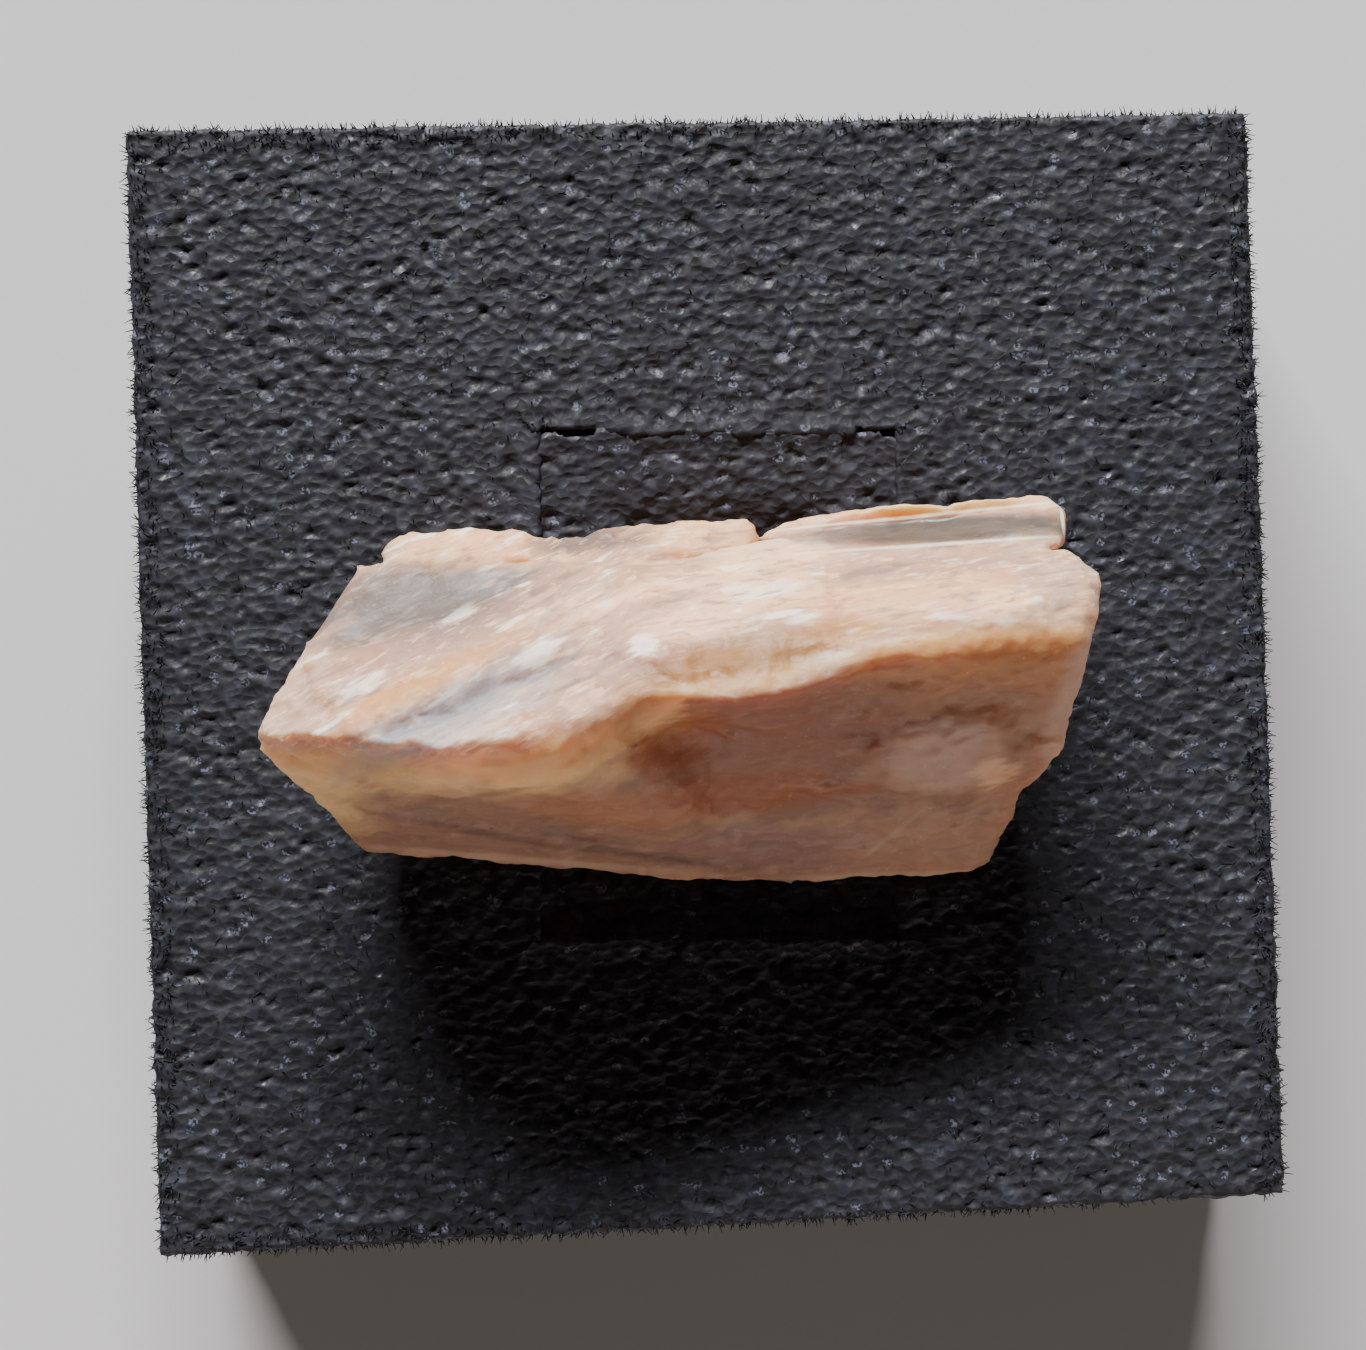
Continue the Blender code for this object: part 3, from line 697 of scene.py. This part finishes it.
@dataclass
class Moonstone:
    """The cleaved crystal.

    Attributes:
        grain: How finely the solid is cut.
        softening: Passes of smoothing all over, and more on the front.
        warp: How far the drawn outlines are pushed out of true.
        step: Height of one cleavage sheet.
        step_rise: How far a sheet's edge stands out.
        ledge: Height of one ledge of the front.
        ledge_rise: How far a ledge stands out.
        chip: Size of the facets on broken ground.
        chip_tilt: How far each facet leans.
        swell: Height of the slow rise and fall of the faces.
        crumb: Height of the finest grains on broken ground.
        bulges: The places that are pushed out or in.
        crest: How far from the crest line it is rounded, and its passes of smoothing.
        crest_start: Where the rounding starts: across, and height above the foam.
        slots: Opposite corners of the slots and creases that are filled out, and their passes of smoothing.
        clean: Opposite corners of the glassy cleavage faces, and their passes of smoothing after the relief.
    """

    grain: float = 0.138
    softening: tuple[int, int] = (3, 34)
    warp: tuple[float, float] = (0.1, 0.075)
    step: float = 0.42
    step_rise: float = 0.085
    ledge: float = 1.1
    ledge_rise: float = 0.06
    chip: float = 0.55
    chip_tilt: float = 0.13
    swell: float = 0.14
    crumb: float = 0.035
    bulges: tuple[Bulge, ...] = (
        Bulge((1.8, 0.3, 9.6), (4.8, 1.9, 2.2), (0.0, -0.7, 0.15)),
        Bulge((-6.3, -2.4, 9.3), (4.4, 1.6, 2.0), (0.0, -0.6, 0.0)),
        Bulge((-0.6, -2.4, 7.6), (2.6, 1.8, 2.2), (0.0, 0.45, -0.1)),
        Bulge((9.5, -1.0, 7.0), (3.0, 2.0, 2.0), (0.0, 0.25, 0.0)),
        Bulge((11.6, 5.6, 3.6), (3.6, 1.4, 2.6), (0.0, 0.45, 0.1)),
        Bulge((7.0, 5.6, 3.6), (3.6, 1.3, 2.5), (0.0, 0.12, 0.0)),
    )
    crest: tuple[float, int] = (1.15, 30)
    crest_start: tuple[float, float] = (-12.0, 7.0)
    slots: tuple[tuple[Spot, Spot, int], ...] = (
        ((3.0, 4.1, 0.6), (13.4, 5.7, 6.2), 55),
        ((-7.8, 3.2, 0.6), (-4.9, 4.95, 6.6), 40),
        ((-2.8, 3.2, 0.6), (0.5, 4.95, 7.0), 40),
        ((-13.3, 0.9, 3.0), (-7.8, 4.1, 8.0), 24),
        ((-12.0, -1.2, 6.0), (-4.2, 1.3, 12.0), 20),
        ((9.7, -4.6, 2.0), (12.0, -0.4, 8.5), 40),
    )
    clean: tuple[tuple[Spot, Spot, int], ...] = (
        ((-13.4, 1.3, 3.0), (-7.0, 4.1, 8.0), 8),
        ((3.2, 4.25, 1.6), (12.9, 5.3, 5.6), 6),
    )
    finish: MoonstoneFinish = MoonstoneFinish()

    def build(self) -> bpy.types.Object:
        """Builds and dresses the crystal."""
        maker = Piece("moonstone", Slot.MOONSTONE)
        stone = maker.fine_copy("moonstone_crystal", self.grain)
        self.weather(stone.data)
        maker.hand_over(stone, self.finish.make(), "moonstone")
        return stone

    def weather(self, mesh: bpy.types.Mesh) -> None:
        """Rounds the edges, then raises the cleavage steps, chips and swell on the faces.

        Args:
            mesh: The finely cut crystal.
        """
        shape = bmesh.new()
        shape.from_mesh(mesh)
        everywhere, front = self.softening
        self.soften(shape.verts, shape, everywhere)
        shape.normal_update()
        self.soften([vertex for vertex in shape.verts if self.in_front(vertex)], shape, front)
        self.soften_boxes(shape, self.slots)
        reach, passes = self.crest
        near = [vertex for vertex in shape.verts if self.off_crest(vertex.co / MM) < reach]
        self.soften(near, shape, passes)
        for vertex in shape.verts:
            vertex.co += self.bend(vertex.co / MM) * MM
        shape.normal_update()
        moves = [self.relief(vertex.co / MM, vertex.normal) for vertex in shape.verts]
        for vertex, move in zip(shape.verts, moves):
            vertex.co += vertex.normal * move * MM
        self.soften(shape.verts, shape, 1)
        self.soften_boxes(shape, self.clean)
        shape.to_mesh(mesh)
        shape.free()

    @staticmethod
    def between(point: Vector, low: Spot, high: Spot) -> bool:
        """Says whether a point lies in a box whose heights count from the foam's top."""
        place = (point.x, point.y, point.z - FOAM_TOP)
        return all(least < part < most for least, part, most in zip(low, place, high))

    def soften_boxes(self, shape: bmesh.types.BMesh, boxes: tuple[tuple[Spot, Spot, int], ...]) -> None:
        """Smooths the points in each of some boxes.

        Args:
            shape: The crystal.
            boxes: Opposite corners of each box, and its passes.
        """
        for low, high, passes in boxes:
            inside = [vertex for vertex in shape.verts if self.between(vertex.co / MM, low, high)]
            self.soften(inside, shape, passes)

    def off_crest(self, point: Vector) -> float:
        """Gives how far a point lies from the crest line, in front or behind, or infinity lower down."""
        line = self.finish.crest
        across, height = self.crest_start
        if point.z < FOAM_TOP + height or point.x < across:
            return math.inf
        for left, right in zip(line, line[1:]):
            if left[0] <= point.x <= right[0]:
                share = (point.x - left[0]) / (right[0] - left[0])
                return abs(point.y - left[1] - share * (right[1] - left[1]))
        return math.inf

    @staticmethod
    def in_front(vertex: bmesh.types.BMVert) -> bool:
        """Says whether a point lies on the front face, away from the crest."""
        return vertex.normal.y < -0.35 and vertex.normal.z < 0.9

    @staticmethod
    def soften(points: Any, shape: bmesh.types.BMesh, passes: int) -> None:
        """Smooths some points of a mesh a number of times."""
        for _ in range(passes):
            bmesh.ops.smooth_vert(
                shape, verts=list(points), factor=0.5, use_axis_x=True, use_axis_y=True, use_axis_z=True
            )

    def bend(self, point: Vector) -> Vector:
        """Gives the sideways push that breaks up straight outlines at a point."""
        wide, narrow = self.warp
        push = noise.noise_vector(point / 0.9) * wide + noise.noise_vector(point / 0.33) * narrow
        return push + sum((bulge.push(point) for bulge in self.bulges), Vector((0, 0, 0)))

    def relief(self, point: Vector, out: Vector) -> float:
        """Gives how far the face stands out at a point.

        Args:
            point: The point, in millimetres.
            out: The way out of the face there.

        Returns:
            The rise, in millimetres.
        """
        behind = clamp(0.45 + 1.8 * out.y)
        rise = self.swell * noise.noise(point * 0.45)
        rise += self.steps(point) * self.step_rise * behind
        rise += self.ledges(point) * self.ledge_rise * (1.0 - behind)
        rough = clamp(0.4 + 1.5 * noise.noise(point * 0.7 + Vector((7, 3, 1))), 0.08)
        rise += self.chips(point) * rough * (0.12 + 0.88 * behind)
        return rise + noise.noise(point / 0.28) * self.crumb * rough * (0.2 + 0.8 * behind)

    @staticmethod
    def saw(level: float, width: float) -> float:
        """Gives a slow rise and a quick fall in each unit, around zero."""
        part = level - math.floor(level)
        return part * min(1.0, (1.0 - part) / width) - 0.5

    def steps(self, point: Vector) -> float:
        """Gives the saw of the cleavage sheets behind the crest."""
        beyond = point.x - BAND_BEND
        flow = point.y - BAND_SLOPE * beyond + BAND_STEEPER * max(0.0, -beyond)
        wander = noise.noise(Vector((point.x * 0.22, flow * 0.8, point.z * 0.2)))
        strong = 0.5 + noise.noise(Vector((point.x * 0.35, flow * 1.1, 4.0)))
        return self.saw(flow / self.step + 2.6 * wander, 0.2) * clamp(strong * 1.3, 0.1)

    def ledges(self, point: Vector) -> float:
        """Gives the low ledges of the front, which fall from left to right."""
        flow = point.z + 0.16 * point.x
        wander = noise.noise(Vector((point.x * 0.2, flow * 0.5, 2.0)))
        strong = 0.5 + noise.noise(Vector((point.x * 0.3, flow * 0.8, 9.0)))
        return self.saw(flow / self.ledge + 1.8 * wander, 0.15) * clamp(strong * 1.2, 0.1)

    def chips(self, point: Vector) -> float:
        """Gives the tilt of the small broken facets."""
        place = Vector((point.x * 0.6, point.y, point.z)) / self.chip
        _, centres = noise.voronoi(place)
        lean = noise.cell_vector(centres[0] * 9.7)
        return (place - centres[0]).dot(lean - Vector((0.5, 0.5, 0.5))) * self.chip_tilt


@dataclass(frozen=True)
class DieCut:
    """The rectangular cut that parts the foam's plug from its block.

    Attributes:
        centre: The middle of the gap's rectangle.
        size: Its width and depth, to the middle of the gap.
        turn: Its turn about the vertical, in degrees.
        gap: How wide the gap is.
        reach: How far from the cut the foam swells into it.
        overlap: How far each side swells past the middle of the gap.
        open_back: The two stretches of the back cut, along its width, that stay open.
        drops: How far the plug is pressed in at its back, middle and front.
        rise_reach: How far from the cut the plug climbs back to the block's level.
        lip: How much the swollen foam rises for each millimetre that it leans.
    """

    centre: tuple[float, float] = (0.5, -0.4)
    size: tuple[float, float] = (13.1, 18.3)
    turn: float = -1.9
    gap: float = 0.3
    reach: float = 0.7
    overlap: float = 0.12
    open_back: tuple[tuple[float, float], ...] = ((-6.5, -4.4), (4.9, 6.5))
    drops: tuple[float, float, float] = (0.2, 1.8, 0.6)
    rise_reach: float = 5.0
    lip: float = 0.5

    def swell(self, point: Vector) -> Vector:
        """Gives how far the foam at a point leans into the cut.

        Args:
            point: A point of the foam, in millimetres.

        Returns:
            The push across the cut, and the rise.
        """
        turn = Matrix.Rotation(math.radians(self.turn), 2)
        place = turn.transposed() @ (point.xy - Vector(self.centre))
        wide = abs(place.x) - self.size[0] / 2
        deep = abs(place.y) - self.size[1] / 2
        nearest = max(wide, deep)
        lift = 0.0
        if nearest < 0:
            share = clamp(1.5 * (1.0 + nearest / self.rise_reach))
            lift = self.drop_at(place.y) * share * share * (3 - 2 * share) * (point.z / FOAM_TOP) ** 4
        if abs(nearest) > self.reach or self.stays_open(place, deep):
            return Vector((0, 0, lift))
        axis = 0 if wide > deep else 1
        sides = Vector((0, 0))
        sides[axis] = math.copysign(1, place[axis])
        past = max(0.0, abs(nearest) - self.gap / 2)
        amount = (self.gap / 2 + self.overlap) * max(0.0, 1.0 - past / (self.reach - self.gap / 2))
        push = turn @ (sides * -math.copysign(amount, nearest))
        return Vector((push.x, push.y, lift + self.lip * amount))

    def drop_at(self, back: float) -> float:
        """Gives how far the plug is pressed in at a place along its depth."""
        share = back / (self.size[1] / 2)
        end = self.drops[2] if share < 0 else self.drops[0]
        return self.drops[1] + (end - self.drops[1]) * min(1.0, abs(share))

    def stays_open(self, place: Vector, deep: float) -> bool:
        """Says whether the cut is open at a place in its own frame."""
        if place.y < 0 or abs(deep) > self.gap * 0.8:
            return False
        return any(low < place.x < high for low, high in self.open_back)


@dataclass
class Foam:
    """A piece of open-celled foam that stands for one foam solid.

    Attributes:
        node: The CAD node that it stands for.
        name: The piece's name.
        grain: The fineness of its faces.
        cell: The foam's cell pitch.
        bowl: How deep the cells are.
        ragged: How far its skin wanders.
        warp: How far the cells are pushed out of true.
        stretch: How closely the cells stand across, back and up.
        cut: The die-cut that parts block and plug.
        foot: Height up to which the foam is left plain.
        wall: How wide the walls between cells are, in cells.
        usual: How deep the average cell is, as a share of the deepest.
        rise: How far the walls stand out of the solid.
    """

    node: str
    name: str
    grain: float = 0.125
    cell: float = 0.5
    bowl: float = 0.18
    ragged: float = 0.08
    warp: float = 0.2
    stretch: Spot = (0.8, 1.15, 1.05)
    cut: DieCut = DieCut()
    foot: float = 0.05
    wall: float = 0.6
    usual: float = 0.55
    rise: float = 0.1

    def build(self, material: bpy.types.Material) -> bpy.types.Object:
        """Builds and dresses the piece.

        Args:
            material: The foam's finish.

        Returns:
            The finished piece.
        """
        maker = Piece(self.node, Slot.FOAM)
        piece = maker.fine_copy(self.name, self.grain)
        self.thin_foot(piece.data)
        Atlas(piece.data).lay_out()
        self.open_cells(piece.data)
        maker.hand_over(piece, material, self.node)
        return piece

    def thin_foot(self, mesh: bpy.types.Mesh) -> None:
        """Leaves only large faces on the foam's flat underside.

        Args:
            mesh: The finely cut foam.
        """
        shape = bmesh.new()
        shape.from_mesh(mesh)
        low = self.foot * MM
        under = [face for face in shape.faces if max(vertex.co.z for vertex in face.verts) < low]
        bmesh.ops.delete(shape, geom=under, context="FACES")
        rim = [edge for edge in shape.edges if edge.is_boundary]
        bmesh.ops.triangle_fill(shape, use_beauty=False, edges=rim, normal=(0, 0, -1))
        shape.to_mesh(mesh)
        shape.free()

    def open_cells(self, mesh: bpy.types.Mesh) -> None:
        """Sinks the cells in the skin, and notes their depth and skin for the finish.

        Args:
            mesh: The finely cut foam.
        """
        pits = mesh.attributes.new("pit", "FLOAT", "POINT")
        skins = mesh.attributes.new("skin", "FLOAT", "POINT")
        found = [self.cell_at(vertex.co / MM, vertex.normal) for vertex in mesh.vertices]
        flat = [number for place, _, _ in found for number in place]
        mesh.vertices.foreach_set("co", flat)
        pits.data.foreach_set("value", [pit for _, pit, _ in found])
        skins.data.foreach_set("value", [skin for _, _, skin in found])
        mesh.update()

    def cell_at(self, point: Vector, out: Vector) -> tuple[Vector, float, float]:
        """Gives where a point of the foam goes, how deep in a cell it is, and the cell's own number.

        Args:
            point: The point, in millimetres.
            out: The way out of the foam there.

        Returns:
            The new place in metres, the depth from 0 on a strut to 1 in a cell, and a number from -1 to 1.
        """
        if point.z < self.foot:
            return point * MM, 0.5, 0.5
        bent = point + noise.noise_vector(point / 0.5) * self.warp
        distances, centres = noise.voronoi(bent * Vector(self.stretch) / self.cell)
        skin = noise.cell(centres[0] * 13.1)
        pit = min(1.0, (distances[1] - distances[0]) / self.wall)
        depth = self.bowl * pit * (self.usual + (1.0 - self.usual) * skin)
        wander = self.ragged * noise.noise(point / 0.5)
        moved = point + out * (wander - depth + self.rise) + self.cut.swell(point)
        moved.z = max(moved.z, 0.0)
        return moved * MM, pit, skin


@dataclass
class Atlas:
    """A flat layout for a boxy piece: one chart for each way that its faces look.

    Attributes:
        mesh: The mesh that is laid out.
        inner: Faces nearer to the middle than this share of the box have charts of their own.
        margin: Space between charts, in metres.
    """

    mesh: bpy.types.Mesh
    inner: float = 0.62
    margin: float = 0.8 * MM

    def lay_out(self) -> None:
        """Writes the layout as the piece's own map."""
        places = [tuple(vertex.co) for vertex in self.mesh.vertices]
        reach = [max(abs(place[axis]) for place in places) for axis in range(2)]
        charts: dict[tuple[int, bool, bool], list[tuple[list[int], list[int]]]] = {}
        for face in self.mesh.polygons:
            normal = tuple(face.normal)
            sizes = [abs(part) for part in normal]
            axis = sizes.index(max(sizes))
            corners = list(face.vertices)
            inner = axis < 2 and abs(places[corners[0]][axis]) < self.inner * reach[axis]
            charts.setdefault((axis, normal[axis] > 0, inner), []).append((corners, list(face.loop_indices)))
        boxes = {key: self.box_of(key[0], faces, places) for key, faces in charts.items()}
        spots_of, side = self.pack(boxes)
        layer = self.mesh.uv_layers.new(name="OFBake")
        spots = [0.0] * (2 * len(self.mesh.loops))
        for key, faces in charts.items():
            low, _ = boxes[key]
            first, second = (key[0] + 1) % 3, (key[0] + 2) % 3
            right, up = (spots_of[key][0] - low[0], spots_of[key][1] - low[1])
            for corners, loops in faces:
                for corner, loop in zip(corners, loops):
                    spots[2 * loop] = (places[corner][first] + right) / side
                    spots[2 * loop + 1] = (places[corner][second] + up) / side
        layer.data.foreach_set("uv", spots)

    @staticmethod
    def box_of(axis: int, faces: list, places: list[tuple]) -> tuple[list, list]:
        """Gives the corners of a chart, seen along its axis, before it is placed."""
        used = {index for corners, _ in faces for index in corners}
        spans = [[places[index][(axis + turn) % 3] for index in used] for turn in (1, 2)]
        return [min(span) for span in spans], [max(span) for span in spans]

    def pack(self, boxes: dict) -> tuple[dict, float]:
        """Places the charts on shelves in a square.

        Args:
            boxes: The corners of each chart.

        Returns:
            Where each chart's lower corner goes, and the square's side.
        """
        sizes = {key: (high[0] - low[0], high[1] - low[1]) for key, (low, high) in boxes.items()}
        side = 1.12 * math.sqrt(sum(wide * tall for wide, tall in sizes.values()))
        side = max(side, *(max(size) + 2 * self.margin for size in sizes.values()))
        while True:
            corners = {}
            across, shelf, tall = self.margin, self.margin, 0.0
            for key, size in sorted(sizes.items(), key=lambda item: (-item[1][1], item[0])):
                if across + size[0] + self.margin > side:
                    across, shelf, tall = self.margin, shelf + tall + self.margin, 0.0
                corners[key] = (across, shelf)
                across += size[0] + self.margin
                tall = max(tall, size[1])
            if shelf + tall + self.margin <= side:
                return corners, side
            side *= 1.05


@dataclass
class Struts:
    """Broken cell struts that stand out of the foam's skin, most of them along its edges.

    Attributes:
        batches: How many batches of them are made.
        batch: How many there are in each.
        length: The longest.
        width: How thick they are at the foot.
        tip: How thick they are at the end.
        lean: How far they lean out of true.
        sink: How far a strut's middle is above the skin, as a share of its length.
        foot: Height below which there are none.
        rim: How near to an edge of the top counts as its rim.
        seed: Seed of their places.
    """

    batches: int = 64
    batch: int = 110
    length: float = 0.42
    width: float = 0.035
    tip: float = 0.012
    lean: float = 0.9
    sink: float = 0.35
    foot: float = 0.6
    rim: float = 0.7
    seed: int = 11

    def build(self, ground: bpy.types.Object, material: bpy.types.Material) -> bpy.types.Object:
        """Builds and dresses the struts.

        Args:
            ground: The foam piece that they stand on.
            material: The foam's finish.

        Returns:
            The finished piece.
        """
        chance = random.Random(self.seed)
        rim = self.rim_faces(ground.data)
        whole = bmesh.new()
        for _ in range(self.batches):
            part = bmesh.new()
            for _ in range(self.batch):
                faces = rim if chance.random() < 0.5 else ground.data.polygons
                self.add_strut(part, faces[chance.randrange(len(faces))], chance)
            mesh = bpy.data.meshes.new("batch of struts")
            part.to_mesh(mesh)
            part.free()
            whole.from_mesh(mesh)
            bpy.data.meshes.remove(mesh)
        self.lay_out(whole)
        maker = Piece("foam_block", Slot.FOAM)
        struts = maker.object_of(whole, "foam_struts")
        maker.hand_over(struts, material)
        return struts

    def rim_faces(self, mesh: bpy.types.Mesh) -> list[bpy.types.MeshPolygon]:
        """Lists the faces near the four edges of the foam's top."""
        inside = FOAM_EDGE - self.rim
        found = []
        for face in mesh.polygons:
            across, back, up = face.center / MM
            if up > FOAM_TOP - self.rim and max(abs(across), abs(back)) > inside:
                found.append(face)
        return found

    def add_strut(self, shape: bmesh.types.BMesh, face: bpy.types.MeshPolygon, chance: random.Random) -> None:
        """Adds one strut.

        Args:
            shape: The bmesh that it goes to.
            face: The face of the foam that it stands on.
            chance: The source of chance.
        """
        lean = Vector([chance.uniform(-1, 1) for _ in range(3)])
        out = (face.normal + lean * self.lean).normalized()
        length = chance.uniform(0.4, 1.0) * self.length * MM
        centre = Vector(face.center) + out * length * self.sink
        if centre.z < self.foot * MM:
            return
        turn = out.to_track_quat("Z", "Y").to_matrix().to_4x4()
        bmesh.ops.create_cone(
            shape, cap_ends=True, segments=3, radius1=self.width * MM, radius2=self.tip * MM,
            depth=length, matrix=Matrix.Translation(centre) @ turn,
        )

    @staticmethod
    def lay_out(shape: bmesh.types.BMesh) -> None:
        """Gives each strut a small square of the map."""
        layer = shape.loops.layers.uv.new("OFBake")
        faces_each = 5
        row = math.ceil(math.sqrt(len(shape.faces) / faces_each))
        for face in shape.faces:
            strut = face.index // faces_each
            for corner, loop in enumerate(face.loops):
                across = strut % row + 0.15 + 0.5 * (corner in (1, 2)) + 0.04 * (face.index % faces_each)
                up = strut // row + 0.15 + 0.7 * (corner > 1)
                loop[layer].uv = (across / row, up / row)


# ---------- the studio


@dataclass(frozen=True)
class SoftLight:
    """A soft rectangular light that faces the specimen.

    Attributes:
        name: Its name.
        place: Where it hangs, in metres.
        size: Its width and height, in metres.
        power: Its power in watts.
        colour: Its colour.
    """

    name: str
    place: Spot
    size: tuple[float, float]
    power: float
    colour: Colour


@dataclass
class Studio:
    """The floor, the soft lights and the camera.

    Attributes:
        height: The camera's height above the foam's top.
        offset: The camera's place over the foam.
        turn: The camera's turn about the vertical, in degrees.
        sensor: The width of its sensor.
        floor: The floor's half-width, in metres.
        target: What the lights face, in metres.
        sky: The room's colour and strength.
        lights: A window behind the specimen and the light that comes back from the room.
    """

    height: float = 105.0
    offset: tuple[float, float] = (-0.756, 0.025)
    turn: float = -1.9
    sensor: float = 36.0
    floor: float = 0.9
    target: Spot = (0, 0, 0.015)
    sky: tuple[Colour, float] = ((1.0, 0.9, 0.83), 0.05)
    lights: tuple[SoftLight, ...] = (
        SoftLight("window", (-0.17, 1.2, 0.72), (0.85, 0.15), 62.0, (1.0, 0.985, 0.97)),
        SoftLight("bounce", (0.12, -0.84, 0.17), (1.0, 0.2), 3.9, (1.0, 0.85, 0.75)),
    )

    def build(self) -> None:
        """Sets up the whole studio."""
        self.lay_floor()
        for light in self.lights:
            self.hang(light)
        self.light_sky()
        self.place_camera()

    def lay_floor(self) -> None:
        """Lays the floor."""
        shape = bmesh.new()
        bmesh.ops.create_grid(shape, x_segments=1, y_segments=1, size=self.floor)
        floor = Piece.object_of(shape, "floor")
        floor.data.materials.append(FloorFinish().make())

    def hang(self, light: SoftLight) -> None:
        """Hangs one soft light.

        Args:
            light: The light.
        """
        lamp = bpy.data.lights.new(light.name, "AREA")
        lamp.shape = "RECTANGLE"
        lamp.size, lamp.size_y = light.size
        lamp.energy = light.power
        lamp.color = light.colour
        holder = bpy.data.objects.new(light.name, lamp)
        holder.location = light.place
        holder.rotation_euler = (Vector(self.target) - holder.location).to_track_quat("-Z", "Y").to_euler()
        bpy.context.scene.collection.objects.link(holder)

    def light_sky(self) -> None:
        """Fills the room with a faint even light."""
        world = bpy.data.worlds.new("room")
        world.use_nodes = True
        colour, strength = self.sky
        inputs = world.node_tree.nodes["Background"].inputs
        inputs["Color"].default_value = (*colour, 1.0)
        inputs["Strength"].default_value = strength
        bpy.context.scene.world = world

    def place_camera(self) -> None:
        """Hangs the camera straight over the specimen."""
        eye = bpy.data.cameras.new("camera")
        eye.sensor_width = self.sensor
        eye.lens = self.sensor * self.height / (FRAME_WIDTH * PIXEL)
        eye.clip_start = 0.001
        camera = bpy.data.objects.new("camera", eye)
        camera.location = (self.offset[0] * MM, self.offset[1] * MM, (FOAM_TOP + self.height) * MM)
        camera.rotation_euler = (0.0, 0.0, math.radians(self.turn))
        bpy.context.scene.collection.objects.link(camera)
        bpy.context.scene.camera = camera


def main() -> None:
    """Builds the specimen and its studio."""
    logging.basicConfig(level=logging.INFO, format="%(message)s")
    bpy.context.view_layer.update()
    noise.seed_set(NOISE_SEED)
    Moonstone().build()
    foam = FoamFinish().make()
    block = Foam("foam_block", "foam_block_cells").build(foam)
    Foam("foam_plug", "foam_plug_cells").build(foam)
    Struts().build(block, foam)
    Studio().build()


if __name__ == "__main__":
    main()
